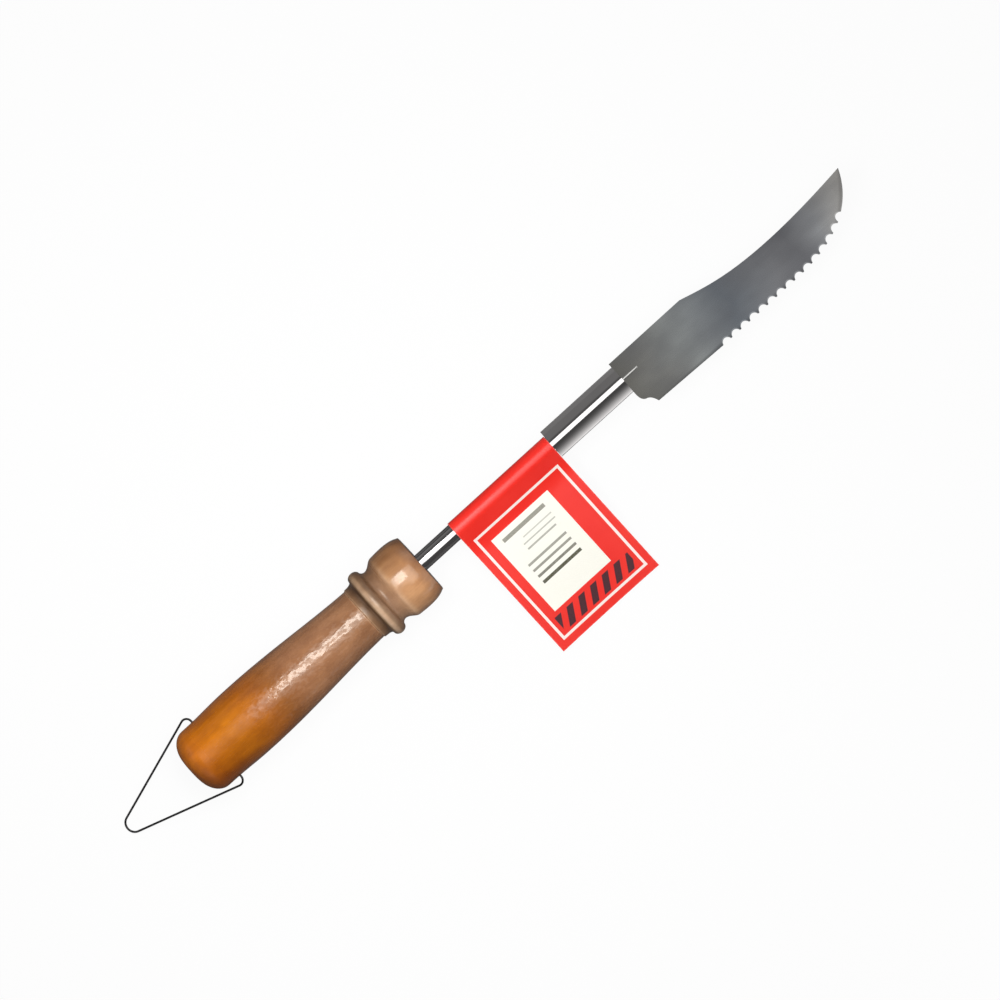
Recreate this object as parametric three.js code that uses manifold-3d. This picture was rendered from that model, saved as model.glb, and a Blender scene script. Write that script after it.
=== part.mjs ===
// Barbecue knife: a serrated blade on a long chromed shank, with a turned wooden handle, a wire loop
// to hang it by and a folded sales card on the shank. It lies on a table as it does in a shop.
// Millimetres. +X runs from the butt to the point, +Y towards the spine, +Z up from the table.
import * as THREE from 'three';
import { mergeVertices, toCreasedNormals } from 'three/addons/utils/BufferGeometryUtils.js';
import Module from 'manifold-3d';

const wasm = await Module();
wasm.setup();

// Clearance between two pieces that fit into or rest on each other
const FIT = 0.3;

// Turned handle. Lengths run from the front face of the collar towards the butt.
const HANDLE_LENGTH = 140;
const COLLAR_FACE_DIAMETER = 31.2;
const COLLAR_DIAMETER = 34.5;
const COLLAR_CROWN_FROM_FACE = 10.5;
const COLLAR_LENGTH = 19.6;
const COLLAR_REAR_DIAMETER = 30.4;
const COLLAR_EDGE_ROUND = 0.8;
const COLLAR_FRONT_HANDLE = 6.5;
const COLLAR_REAR_HANDLE = 6;
const COVE_DIAMETER = 28.2;
const BEAD_DIAMETER = 35.4;
const BEAD_FROM_FACE = 26.8;
const BEAD_WIDTH = 6.2;
const BEAD_RISE = 2.4;
const WAIST_DIAMETER = 27;
const WAIST_FROM_FACE = 34.4;
const WAIST_LIP = 0.5;
const WAIST_HANDLE = new THREE.Vector2(0.4, 21);
const SWELL_DIAMETER = 33.8;
const SWELL_FROM_BUTT = 36;
const SWELL_HANDLE = 26;
const BUTT_DIAMETER = 32.4;
const BUTT_FACE_DIAMETER = 10;
const BUTT_ROUND = 8.5;

// Chromed shank, a thin tube: tang glued into the handle, free length, lap inside the neck sleeve
const SHANK_DIAMETER = 8.6;
const SHANK_WALL = 1;
const SHANK_TANG = 86;
const SHANK_FREE = 79.9;
const SHANK_LAP = 30;
const SHANK_CHAMFER = 0.4;
const BORE_RUNOUT = 1.5;
const BORE_POINT = 2.6;
const GLUE_GROOVES = 4;
const GLUE_GROOVE_PITCH = 9;
const GLUE_GROOVE_WIDTH = 1.6;
const GLUE_GROOVE_DEPTH = 0.4;
const GLUE_GROOVE_FROM_END = 12;

// Neck sleeve, rolled from sheet to a roof with a rounded crest, its underside pressed into a spoon
const NECK_LENGTH = 43.6;
const NECK_WIDTH = 14.8;
const NECK_WALL = 1;
const NECK_CREST_RISE = 0.6;
const NECK_CREST_INSIDE_RADIUS = 3.2;
const NECK_SIDE_INSIDE_RADIUS = 0.3;
const NECK_SIDE_HEIGHT = 0.8;
const SPOON_LENGTH = 27;
const SPOON_SLOPE = 15;
const SPOON_NOSE = 7;
const SPOON_ROOT = 3;

// Blade, stamped from sheet. Its rear edge stands square to the shank; heights are from the shank axis.
const BLADE_LENGTH = 136.7;
const BLADE_THICKNESS = 1.2;
const SPINE_HEIGHT = 9.3;
const SPINE_FLAT = 43.1;
const SPINE_LEAVE = new THREE.Vector2(15.4, -4.1);
const SPINE_ARRIVE = new THREE.Vector2(-60.2, -6.8);
const POINT_HEIGHT = 5.4;
const REAR_EDGE_DEPTH = 9.3;
const HEEL_SHELF = new THREE.Vector2(2.8, -13.8);
const HEEL_SHELF_CORNER = new THREE.Vector2(0.1, -13.2);
const HEEL_HOLLOW_CORNER = new THREE.Vector2(4.8, -14.6);
const HEEL_LENGTH = 5.9;
const HEEL_DEPTH = 18.1;
const EDGE_DEPTH = 19.2;
const FIRST_TOOTH = 44;
const BELLY_START = 88.5;
const BELLY_LEAVE = 24;
const BELLY_ARRIVE = new THREE.Vector2(-7.2, -17.4);
const GULLETS = 15;
const TOOTH_PITCH = 5.5;
const TOOTH_FLAT = 0.8;
const GULLET_DEPTH = 2;
const GULLET_TILT = THREE.MathUtils.degToRad(28);
const POINT_BEVEL_WIDTH = 0.5;
const EDGE_LAND = 0.3;
const RIB_LENGTH = 9;
const RIB_WIDTH = 1.4;
const RIB_HEIGHT = 0.3;
const RIB_NOSE = 3;
const TANG_THICKNESS = 0.8;

// Hanging loop, bent from wire, its two ends in a hole drilled across the handle
const WIRE_DIAMETER = 1.2;
const LOOP_FROM_BUTT = 15;
const LOOP_LENGTH = 58;
const LOOP_WIDTH = 41.2;
const LOOP_APEX_RADIUS = 4.2;
const LOOP_SHOULDER_RADIUS = 2.8;
const LOOP_PIN_DEPTH = 9;

// Sales card folded round the shank, its two leaves glued together, and the sticker on its front
const CARD_THICKNESS = 0.35;
const CARD_WIDTH = 58.2;
const CARD_REACH = 75.4;
const CARD_PINCH = 11;
const CARD_TO_NECK = 0.8;
const STICKER_WIDTH = 34.4;
const STICKER_HEIGHT = 46.6;
const STICKER_THICKNESS = 0.2;
const STICKER_FROM_SHANK = 12.2;
const STICKER_FROM_CARD_END = 14.4;

// Facets on round shapes
const HANDLE_SIDES = 44;
const HANDLE_CURVE_STEPS = 5;
const SHANK_SIDES = 32;
const BLADE_CURVE_STEPS = 20;
const GULLET_SIDES = 32;
const RIB_SIDES = 16;
const WRAP_STEPS = 48;
const SPOON_STEPS = 10;
const WIRE_SIDES = 4;
const WIRE_STEPS = 112;

// Overrun of a cutting shape beyond the surface that it cuts
const OVERRUN = 1;

// Places along the shank, from the front face of the collar
const neckRear = SHANK_FREE;
const bladeRear = neckRear + NECK_LENGTH;
const loopPivot = -HANDLE_LENGTH + LOOP_FROM_BUTT;

const shankRadius = SHANK_DIAMETER / 2;
const wireRadius = WIRE_DIAMETER / 2;
const tableDepth = Math.max(BEAD_DIAMETER, COLLAR_DIAMETER, SWELL_DIAMETER) / 2;

const wood = new THREE.MeshStandardMaterial({ color: 0xa8692f, roughness: 0.32, metalness: 0 });
const chrome = new THREE.MeshStandardMaterial({ color: 0xc9c8c6, roughness: 0.12, metalness: 1 });
const steel = new THREE.MeshStandardMaterial({ color: 0x747776, roughness: 0.38, metalness: 1 });
const darkWire = new THREE.MeshStandardMaterial({ color: 0x5d5e60, roughness: 0.35, metalness: 1 });
const redCard = new THREE.MeshStandardMaterial({ color: 0xf0362e, roughness: 0.5, metalness: 0 });
const paper = new THREE.MeshStandardMaterial({ color: 0xfbfaf0, roughness: 0.7, metalness: 0 });

// Closed solid from a geometry: shared corners merged, triangles without area dropped.
function solidOf(geometry) {
  geometry.deleteAttribute('normal');
  geometry.deleteAttribute('uv');
  const merged = mergeVertices(geometry, 1e-4);
  const corners = merged.index.array;
  const triangles = [];
  for (let i = 0; i < corners.length; i += 3) {
    const [a, b, c] = corners.slice(i, i + 3);
    if (a !== b && b !== c && c !== a) triangles.push(a, b, c);
  }
  const vertProperties = new Float32Array(merged.attributes.position.array);
  return new wasm.Manifold(
    new wasm.Mesh({ numProp: 3, vertProperties, triVerts: new Uint32Array(triangles) }),
  );
}

// Named mesh of a solid, smooth across its gentle bends and sharp at its edges.
function meshOf(name, solid, material) {
  const { vertProperties, triVerts } = solid.getMesh();
  const geometry = new THREE.BufferGeometry();
  geometry.setAttribute('position', new THREE.BufferAttribute(vertProperties, 3));
  geometry.setIndex(new THREE.BufferAttribute(triVerts, 1));
  const mesh = new THREE.Mesh(toCreasedNormals(geometry, Math.PI / 6), material);
  mesh.name = name;
  return mesh;
}

// Solid turned about the X axis from a profile of (radius, x) points.
function turned(profile, sides) {
  const geometry = new THREE.LatheGeometry(profile, sides);
  geometry.rotateZ(-Math.PI / 2);
  return solidOf(geometry);
}

// Solid of constant (y, z) section along X, with an optional hole through it.
function drawnAlongX(outline, hole, from, length) {
  const shape = new THREE.Shape(outline);
  if (hole) shape.holes.push(new THREE.Path(hole));
  const geometry = new THREE.ExtrudeGeometry(shape, { depth: length, bevelEnabled: false });
  const alongX = new THREE.Matrix4().makeBasis(
    new THREE.Vector3(0, 1, 0),
    new THREE.Vector3(0, 0, 1),
    new THREE.Vector3(1, 0, 0),
  );
  geometry.applyMatrix4(alongX);
  geometry.translate(from, 0, 0);
  return solidOf(geometry);
}

// Solid skinned over rings of equally many points, closed by a cap on the first and the last ring.
function lofted(rings, cap) {
  const count = rings[0].length;
  const positions = rings.flat().flatMap((p) => p.toArray());
  const index = [];
  for (let r = 0; r + 1 < rings.length; r++) {
    for (let i = 0; i < count; i++) {
      const a = r * count + i;
      const b = r * count + ((i + 1) % count);
      index.push(a, b, b + count, a, b + count, a + count);
    }
  }
  const last = (rings.length - 1) * count;
  for (const [a, b, c] of cap) {
    index.push(a, c, b, last + a, last + b, last + c);
  }
  const geometry = new THREE.BufferGeometry();
  geometry.setAttribute('position', new THREE.Float32BufferAttribute(positions, 3));
  geometry.setIndex(index);
  return solidOf(geometry);
}

// Outline stretched round circles, moved inwards by inset: sheet metal or card wrapped over rounds.
function wrapped(circles, inset) {
  const outline = [];
  for (let i = 0; i < WRAP_STEPS; i++) {
    const angle = (2 * Math.PI * i) / WRAP_STEPS;
    const out = new THREE.Vector2(Math.cos(angle), Math.sin(angle));
    const reach = (circle) => circle.centre.dot(out) + circle.radius;
    const touched = circles.reduce((a, b) => (reach(b) > reach(a) ? b : a));
    const point = touched.centre.clone().addScaledVector(out, touched.radius - inset);
    if (i === 0 || point.distanceTo(outline.at(-1)) > 1e-3) outline.push(point);
  }
  return outline;
}

// Part of a convex outline at or below a height, from its left crossing to its right one.
function below(outline, height) {
  const crossing = (a, b) => a.clone().lerp(b, (height - a.y) / (b.y - a.y));
  const start = outline.findIndex((p, i) => p.y > height && outline[(i + 1) % outline.length].y <= height);
  const cut = [];
  for (let i = start; ; i++) {
    const a = outline[i % outline.length];
    const b = outline[(i + 1) % outline.length];
    if (a.y <= height) cut.push(a.clone());
    if (a.y > height !== b.y > height) cut.push(crossing(a, b));
    if (cut.length > 1 && b.y > height) return cut;
  }
}

// Path through corners that are rounded to the given radii; the end points stay sharp.
function rounded(corners, radii) {
  const path = new THREE.Path();
  path.moveTo(corners[0].x, corners[0].y);
  for (let i = 1; i + 1 < corners.length; i++) {
    const before = corners[i].clone().sub(corners[i - 1]).normalize();
    const after = corners[i + 1].clone().sub(corners[i]).normalize();
    const side = Math.sign(before.cross(after));
    const radius = radii[i - 1];
    const setback = radius * Math.tan(Math.acos(before.dot(after)) / 2);
    const start = corners[i].clone().addScaledVector(before, -setback);
    const end = corners[i].clone().addScaledVector(after, setback);
    const centre = start.clone().add(new THREE.Vector2(-before.y, before.x).multiplyScalar(side * radius));
    path.lineTo(start.x, start.y);
    const from = start.sub(centre).angle();
    const to = end.sub(centre).angle();
    path.absarc(centre.x, centre.y, radius, from, to, side < 0);
  }
  path.lineTo(corners.at(-1).x, corners.at(-1).y);
  return path;
}

// Flat path set in the XY plane, for a wire bent along it.
class FlatCurve extends THREE.Curve {
  constructor(path) {
    super();
    this.path = path;
  }

  getPoint(t, target = new THREE.Vector3()) {
    const point = this.path.getPoint(t);
    return target.set(point.x, point.y, 0);
  }
}

// Profile of the handle from the butt to the collar face, as (radius, x).
function handleProfile() {
  const butt = BUTT_DIAMETER / 2;
  const buttFace = BUTT_FACE_DIAMETER / 2;
  const swell = SWELL_DIAMETER / 2;
  const waist = WAIST_DIAMETER / 2;
  const collar = COLLAR_DIAMETER / 2;
  const collarRear = COLLAR_REAR_DIAMETER / 2;
  const face = COLLAR_FACE_DIAMETER / 2;
  const buttEdge = -HANDLE_LENGTH + BUTT_ROUND;
  const swellAt = -HANDLE_LENGTH + SWELL_FROM_BUTT;
  const buttBlend = (buttEdge + swellAt) / 2;
  const beadRoot = BEAD_DIAMETER / 2 - BEAD_RISE;
  const beadHalf = BEAD_WIDTH / 2;
  const beadRear = -BEAD_FROM_FACE - beadHalf;
  const coveAt = (-BEAD_FROM_FACE + beadHalf - COLLAR_LENGTH) / 2;
  const coveDip = COVE_DIAMETER - (beadRoot + collarRear) / 2;
  const crownAt = -COLLAR_CROWN_FROM_FACE;
  const right = Math.PI / 2;

  const path = new THREE.Path();
  path.moveTo(0, -HANDLE_LENGTH);
  path.lineTo(buttFace, -HANDLE_LENGTH);
  path.absellipse(buttFace, buttEdge, butt - buttFace, BUTT_ROUND, -right, 0, false, 0);
  path.bezierCurveTo(butt, buttBlend, swell, buttBlend, swell, swellAt);
  path.bezierCurveTo(
    swell, swellAt + SWELL_HANDLE,
    waist + WAIST_HANDLE.x, -WAIST_FROM_FACE - WAIST_HANDLE.y,
    waist, -WAIST_FROM_FACE,
  );
  path.lineTo(waist + WAIST_LIP, -WAIST_FROM_FACE + WAIST_LIP);
  path.quadraticCurveTo(waist + WAIST_LIP, beadRear, beadRoot, beadRear);
  path.absellipse(beadRoot, -BEAD_FROM_FACE, BEAD_RISE, beadHalf, -right, right, false, 0);
  path.quadraticCurveTo(coveDip, coveAt, collarRear, -COLLAR_LENGTH);
  path.quadraticCurveTo(collar, crownAt - COLLAR_REAR_HANDLE, collar, crownAt);
  path.quadraticCurveTo(collar, crownAt + COLLAR_FRONT_HANDLE, face, -COLLAR_EDGE_ROUND);
  path.quadraticCurveTo(face, 0, face - COLLAR_EDGE_ROUND, 0);
  path.lineTo(0, 0);
  return path.getPoints(HANDLE_CURVE_STEPS);
}

// Wooden handle with the blind bore for the shank and the hole across it for the loop.
function handle() {
  const boreRadius = shankRadius + FIT;
  const boreEnd = -SHANK_TANG - BORE_RUNOUT;
  const bore = turned(
    [
      new THREE.Vector2(0, boreEnd - BORE_POINT),
      new THREE.Vector2(boreRadius, boreEnd),
      new THREE.Vector2(boreRadius, OVERRUN),
      new THREE.Vector2(0, OVERRUN),
    ],
    SHANK_SIDES,
  );
  const holeRadius = wireRadius + FIT;
  const hole = new THREE.CylinderGeometry(holeRadius, holeRadius, SWELL_DIAMETER + 2 * OVERRUN, 4 * WIRE_SIDES);
  hole.translate(loopPivot, 0, 0);
  const body = turned(handleProfile(), HANDLE_SIDES).subtract(bore).subtract(solidOf(hole));
  return meshOf('handle', body, wood);
}

// Tube of the shank, with grooves rolled into its tang for the glue.
function shank() {
  const inner = shankRadius - SHANK_WALL;
  const front = SHANK_FREE + SHANK_LAP;
  const profile = [
    new THREE.Vector2(inner, -SHANK_TANG),
    new THREE.Vector2(shankRadius - SHANK_CHAMFER, -SHANK_TANG),
    new THREE.Vector2(shankRadius, -SHANK_TANG + SHANK_CHAMFER),
  ];
  for (let i = 0; i < GLUE_GROOVES; i++) {
    const at = -SHANK_TANG + GLUE_GROOVE_FROM_END + i * GLUE_GROOVE_PITCH;
    profile.push(new THREE.Vector2(shankRadius, at - GLUE_GROOVE_WIDTH / 2));
    profile.push(new THREE.Vector2(shankRadius - GLUE_GROOVE_DEPTH, at));
    profile.push(new THREE.Vector2(shankRadius, at + GLUE_GROOVE_WIDTH / 2));
  }
  profile.push(new THREE.Vector2(shankRadius, front - SHANK_CHAMFER));
  profile.push(new THREE.Vector2(shankRadius - SHANK_CHAMFER, front));
  profile.push(new THREE.Vector2(inner, front));
  profile.push(profile[0].clone());
  return meshOf('shank_tube', turned(profile, SHANK_SIDES), chrome);
}

// Rounds that the sheet of the neck sleeve is wrapped over: the shank, the crest and the two sides.
function neckRounds() {
  const seat = shankRadius + FIT + NECK_WALL;
  const crest = NECK_CREST_INSIDE_RADIUS + NECK_WALL;
  const side = NECK_SIDE_INSIDE_RADIUS + NECK_WALL;
  const sideAt = NECK_WIDTH / 2 - side;
  return [
    { centre: new THREE.Vector2(0, 0), radius: seat },
    { centre: new THREE.Vector2(0, seat + NECK_CREST_RISE - crest), radius: crest },
    { centre: new THREE.Vector2(sideAt, NECK_SIDE_HEIGHT), radius: side },
    { centre: new THREE.Vector2(-sideAt, NECK_SIDE_HEIGHT), radius: side },
  ];
}

// Neck sleeve: a closed sleeve over the shank whose lower half runs on under the blade as a spoon.
function neckSleeve() {
  const outer = wrapped(neckRounds(), 0);
  const inner = wrapped(neckRounds(), NECK_WALL);
  const sleeve = drawnAlongX(outer, inner, neckRear, NECK_LENGTH - FIT);

  const seatHeight = -BLADE_THICKNESS / 2 - FIT;
  const outside = below(outer, seatHeight);
  const inside = below(inner, seatHeight).reverse();
  const flatten = (point, floor, share, squeeze, x) =>
    new THREE.Vector3(x, point.x * squeeze, THREE.MathUtils.lerp(point.y, floor, share));
  const ring = (x, squeeze) => {
    const share = THREE.MathUtils.smoothstep(x, bladeRear, bladeRear + SPOON_SLOPE);
    return [
      ...outside.map((p) => flatten(p, seatHeight - NECK_WALL, share, squeeze, x)),
      ...inside.map((p) => flatten(p, seatHeight, share, squeeze, x)),
    ];
  };
  const noseStart = bladeRear + SPOON_LENGTH - SPOON_NOSE;
  const rings = [ring(bladeRear - SPOON_ROOT, 1)];
  for (let i = 0; i <= SPOON_STEPS; i++) {
    rings.push(ring(bladeRear + ((noseStart - bladeRear) * i) / SPOON_STEPS, 1));
  }
  for (let i = 1; i < SPOON_STEPS; i++) {
    const angle = (Math.PI * i) / (2 * SPOON_STEPS);
    rings.push(ring(noseStart + SPOON_NOSE * Math.sin(angle), Math.cos(angle)));
  }
  const section = [...outside, ...inside];
  const cap = THREE.ShapeUtils.triangulateShape(section, []);
  return meshOf('neck_sleeve', sleeve.add(lofted(rings, cap)), chrome);
}

// Line of the tooth tips from the first tooth to the point, in the plane of the blade.
function edgeLine() {
  const point = new THREE.Vector2(BLADE_LENGTH, POINT_HEIGHT);
  const start = new THREE.Vector2(BELLY_START, -EDGE_DEPTH);
  const leave = start.clone().add(new THREE.Vector2(BELLY_LEAVE, 0));
  const arrive = point.clone().add(BELLY_ARRIVE);
  const line = new THREE.CurvePath();
  line.add(new THREE.LineCurve(new THREE.Vector2(FIRST_TOOTH, -EDGE_DEPTH), start));
  line.add(new THREE.CubicBezierCurve(start, leave, arrive, point));
  return line;
}

// Outline of the blade before its teeth are ground.
function bladeOutline(edge) {
  const corner = new THREE.Vector2(SPINE_FLAT, SPINE_HEIGHT);
  const point = new THREE.Vector2(BLADE_LENGTH, POINT_HEIGHT);
  const shape = new THREE.Shape();
  shape.moveTo(0, SPINE_HEIGHT);
  shape.lineTo(0, -REAR_EDGE_DEPTH);
  shape.quadraticCurveTo(HEEL_SHELF_CORNER.x, HEEL_SHELF_CORNER.y, HEEL_SHELF.x, HEEL_SHELF.y);
  shape.quadraticCurveTo(HEEL_HOLLOW_CORNER.x, HEEL_HOLLOW_CORNER.y, HEEL_LENGTH, -HEEL_DEPTH);
  shape.lineTo(FIRST_TOOTH, -EDGE_DEPTH);
  shape.lineTo(BELLY_START, -EDGE_DEPTH);
  const [, belly] = edge.curves;
  shape.bezierCurveTo(belly.v1.x, belly.v1.y, belly.v2.x, belly.v2.y, belly.v3.x, belly.v3.y);
  const arrive = point.clone().add(SPINE_ARRIVE);
  const leave = corner.clone().add(SPINE_LEAVE);
  shape.bezierCurveTo(arrive.x, arrive.y, leave.x, leave.y, corner.x, corner.y);
  return shape;
}

// Point, direction and outward normal of the edge at a distance along it.
function edgeFrame(edge, distance) {
  const share = Math.min(distance / edge.getLength(), 1);
  const along = edge.getTangent(share);
  return { at: edge.getPoint(share), along, out: new THREE.Vector2(along.y, -along.x) };
}

// Round, tilted cutter that grinds one gullet between two teeth.
function gulletCutter(edge, number) {
  const { at, along, out } = edgeFrame(edge, (number + 0.5) * TOOTH_PITCH);
  const half = (TOOTH_PITCH - TOOTH_FLAT) / 2;
  const radius = (half * half + GULLET_DEPTH * GULLET_DEPTH) / (2 * GULLET_DEPTH);
  const centre = at.clone().addScaledVector(out, radius - GULLET_DEPTH);
  const length = (BLADE_THICKNESS + 2 * radius) / Math.cos(GULLET_TILT);
  const cutter = new THREE.CylinderGeometry(radius, radius, length, GULLET_SIDES);
  const lean = out.clone().multiplyScalar(-Math.sin(GULLET_TILT));
  const tangent = new THREE.Vector3(along.x, along.y, 0);
  const axis = new THREE.Vector3(lean.x, lean.y, Math.cos(GULLET_TILT));
  const third = new THREE.Vector3().crossVectors(tangent, axis);
  cutter.applyMatrix4(new THREE.Matrix4().makeBasis(tangent, axis, third).setPosition(centre.x, centre.y, 0));
  return solidOf(cutter);
}

// Cutter that grinds the bevel of the plain edge between the last tooth and the point.
function pointBevelCutter(edge) {
  const top = BLADE_THICKNESS / 2;
  const slope = (BLADE_THICKNESS - EDGE_LAND) / POINT_BEVEL_WIDTH;
  const ring = ({ at, out }) => {
    const inside = at.clone().addScaledVector(out, -POINT_BEVEL_WIDTH);
    const outside = at.clone().addScaledVector(out, OVERRUN);
    const low = top - slope * (POINT_BEVEL_WIDTH + OVERRUN);
    const high = top + OVERRUN;
    return [
      new THREE.Vector3(inside.x, inside.y, top),
      new THREE.Vector3(inside.x, inside.y, high),
      new THREE.Vector3(outside.x, outside.y, high),
      new THREE.Vector3(outside.x, outside.y, low),
    ];
  };
  const from = GULLETS * TOOTH_PITCH;
  const run = edge.getLength() - from;
  const rings = [];
  for (let i = 0; i <= BLADE_CURVE_STEPS; i++) {
    rings.push(ring(edgeFrame(edge, from + (run * i) / BLADE_CURVE_STEPS)));
  }
  const end = edgeFrame(edge, edge.getLength());
  end.at.addScaledVector(end.along, OVERRUN);
  rings.push(ring(end));
  return lofted(rings, [[0, 1, 2], [0, 2, 3]]);
}

// Tang behind the blade, ground thinner, that fills the sleeve up to the end of the shank.
function bladeTang() {
  const [side] = below(wrapped(neckRounds(), NECK_WALL), -TANG_THICKNESS / 2);
  const length = NECK_LENGTH - SHANK_LAP - FIT;
  const tang = new THREE.BoxGeometry(length + OVERRUN, 2 * (Math.abs(side.x) - FIT), TANG_THICKNESS);
  tang.translate((OVERRUN - length) / 2, 0, 0);
  return solidOf(tang);
}

// Low rib pressed up in line with the neck's crest, with a rounded nose.
function bladeRib() {
  const half = RIB_WIDTH / 2;
  const path = new THREE.Path();
  path.moveTo(0, 0);
  path.lineTo(half, 0);
  path.lineTo(half, RIB_LENGTH - RIB_NOSE);
  path.quadraticCurveTo(half, RIB_LENGTH, 0, RIB_LENGTH);
  const round = turned(path.getPoints(RIB_SIDES / 2), RIB_SIDES);
  return round.scale([1, 1, RIB_HEIGHT / half]).translate([0, 0, BLADE_THICKNESS / 2]);
}

// Blade: stamped outline, tang and rib, and the ground teeth and point.
function blade() {
  const edge = edgeLine();
  const sheet = new THREE.ExtrudeGeometry(bladeOutline(edge), {
    depth: BLADE_THICKNESS,
    bevelEnabled: false,
    curveSegments: BLADE_CURVE_STEPS,
  });
  sheet.translate(0, 0, -BLADE_THICKNESS / 2);
  let body = solidOf(sheet).add(bladeTang()).add(bladeRib()).subtract(pointBevelCutter(edge));
  for (let i = 0; i < GULLETS; i++) {
    body = body.subtract(gulletCutter(edge, i));
  }
  const mesh = meshOf('blade', body, steel);
  mesh.position.x = bladeRear;
  return mesh;
}

// Wire loop about its pivot: two straight legs from a round apex, the ends bent in to the hole.
function hangingLoop() {
  const half = LOOP_WIDTH / 2;
  const apexCentre = LOOP_LENGTH - LOOP_APEX_RADIUS;
  const legAngle = Math.atan2(half, apexCentre) - Math.asin(LOOP_APEX_RADIUS / Math.hypot(half, apexCentre));
  const pinEnd = SWELL_DIAMETER / 2 - LOOP_PIN_DEPTH;
  const corners = [
    new THREE.Vector2(0, pinEnd),
    new THREE.Vector2(0, half),
    new THREE.Vector2(-half / Math.tan(legAngle), 0),
    new THREE.Vector2(0, -half),
    new THREE.Vector2(0, -pinEnd),
  ];
  const path = rounded(corners, [LOOP_SHOULDER_RADIUS, LOOP_APEX_RADIUS, LOOP_SHOULDER_RADIUS]);
  const section = new THREE.Shape().absarc(0, 0, wireRadius, 0, 2 * Math.PI);
  const wire = new THREE.ExtrudeGeometry(section, {
    extrudePath: new FlatCurve(path),
    steps: WIRE_STEPS,
    curveSegments: WIRE_SIDES,
  });
  const mesh = meshOf('hanging_loop', solidOf(wire), darkWire);
  mesh.position.x = loopPivot;
  mesh.rotation.y = -Math.asin((tableDepth - FIT - wireRadius) / LOOP_LENGTH);
  return mesh;
}

// Sales card: a strip folded over the shank, pinched below it and glued leaf to leaf.
function salesCard() {
  const rounds = [
    { centre: new THREE.Vector2(0, 0), radius: shankRadius + FIT + CARD_THICKNESS },
    { centre: new THREE.Vector2(-CARD_PINCH, 0), radius: CARD_THICKNESS },
  ];
  const cardStart = neckRear - CARD_TO_NECK - CARD_WIDTH;
  const fold = drawnAlongX(wrapped(rounds, 0), wrapped(rounds, CARD_THICKNESS), cardStart, CARD_WIDTH);
  const leaves = new THREE.BoxGeometry(CARD_WIDTH, CARD_REACH - CARD_PINCH, 2 * CARD_THICKNESS);
  leaves.translate(cardStart + CARD_WIDTH / 2, -(CARD_REACH + CARD_PINCH) / 2, 0);

  const sticker = new THREE.BoxGeometry(STICKER_WIDTH, STICKER_HEIGHT, STICKER_THICKNESS);
  sticker.translate(
    neckRear - CARD_TO_NECK - STICKER_FROM_CARD_END - STICKER_WIDTH / 2,
    -STICKER_FROM_SHANK - STICKER_HEIGHT / 2,
    CARD_THICKNESS + FIT + STICKER_THICKNESS / 2,
  );

  const card = new THREE.Group();
  card.add(meshOf('tag_card', fold.add(solidOf(leaves)), redCard));
  card.add(meshOf('tag_sticker', solidOf(sticker), paper));
  card.rotation.x = Math.asin((tableDepth - FIT - CARD_THICKNESS) / CARD_REACH);
  return card;
}

// The whole knife, its origin on the table under the middle of its bounding box.
const pieces = new THREE.Group();
pieces.add(handle(), shank(), neckSleeve(), blade(), hangingLoop(), salesCard());
const extent = new THREE.Box3().setFromObject(pieces, true);
const middle = extent.getCenter(new THREE.Vector3());
pieces.position.set(-middle.x, -middle.y, -extent.min.z);

const knife = new THREE.Group();
knife.name = 'barbecue_knife';
knife.add(pieces);

export default knife;
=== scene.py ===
# Long barbecue knife: a serrated blade on a chromed shank, a turned wooden handle, a wire loop to hang
# it by and a folded sales card on the shank. It lies on a table, seen from straight above.
# Metres. +X runs from the butt to the point, +Y towards the spine, +Z up from the table.
import math

import bpy
from mathutils import Matrix, Vector


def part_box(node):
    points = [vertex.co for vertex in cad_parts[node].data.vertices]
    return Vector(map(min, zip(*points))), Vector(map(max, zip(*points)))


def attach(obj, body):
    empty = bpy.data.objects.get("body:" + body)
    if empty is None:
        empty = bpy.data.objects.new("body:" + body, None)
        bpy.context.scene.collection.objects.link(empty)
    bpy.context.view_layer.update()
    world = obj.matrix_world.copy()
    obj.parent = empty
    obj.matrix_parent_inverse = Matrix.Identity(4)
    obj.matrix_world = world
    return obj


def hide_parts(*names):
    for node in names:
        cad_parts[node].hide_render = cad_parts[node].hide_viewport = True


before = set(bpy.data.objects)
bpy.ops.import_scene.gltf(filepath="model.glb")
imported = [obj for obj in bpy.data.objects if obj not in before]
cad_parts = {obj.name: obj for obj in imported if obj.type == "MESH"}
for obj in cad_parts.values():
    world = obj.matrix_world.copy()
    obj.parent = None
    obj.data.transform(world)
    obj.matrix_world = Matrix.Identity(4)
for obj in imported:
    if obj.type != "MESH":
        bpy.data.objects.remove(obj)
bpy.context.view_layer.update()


# Handle: one piece of hardwood turned on a lathe, a long grip with a bead, a cove and a collar before
# it. It is brown, turning amber towards the butt, and lacquered; it is bored from the front for the
# shank and drilled across near the butt for the ends of the loop.
handle_length = 140
handle_sides = 128
grip_radius = 16.9
shank_radius = 4.3
shank_tang = 86
bore_radius = shank_radius + 0.1
bore_chamfer = 0.3
bore_end = -shank_tang - 1.5
bore_point = bore_end - 2.6


def curved(steps, *corners):
    """Points of a Bezier curve after its first corner, up to its last one."""
    points = []
    for i in range(1, steps + 1):
        row = [Vector(corner) for corner in corners]
        while len(row) > 1:
            row = [a.lerp(b, i / steps) for a, b in zip(row, row[1:])]
        points.append(row[0])
    return points


def arc(steps, centre, radii, start, end):
    """Points on an ellipse after one angle, up to another, in degrees."""
    angles = [math.radians(start + (end - start) * i / steps) for i in range(1, steps + 1)]
    return [
        Vector((centre[0] + radii[0] * math.cos(a), centre[1] + radii[1] * math.sin(a)))
        for a in angles
    ]


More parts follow.
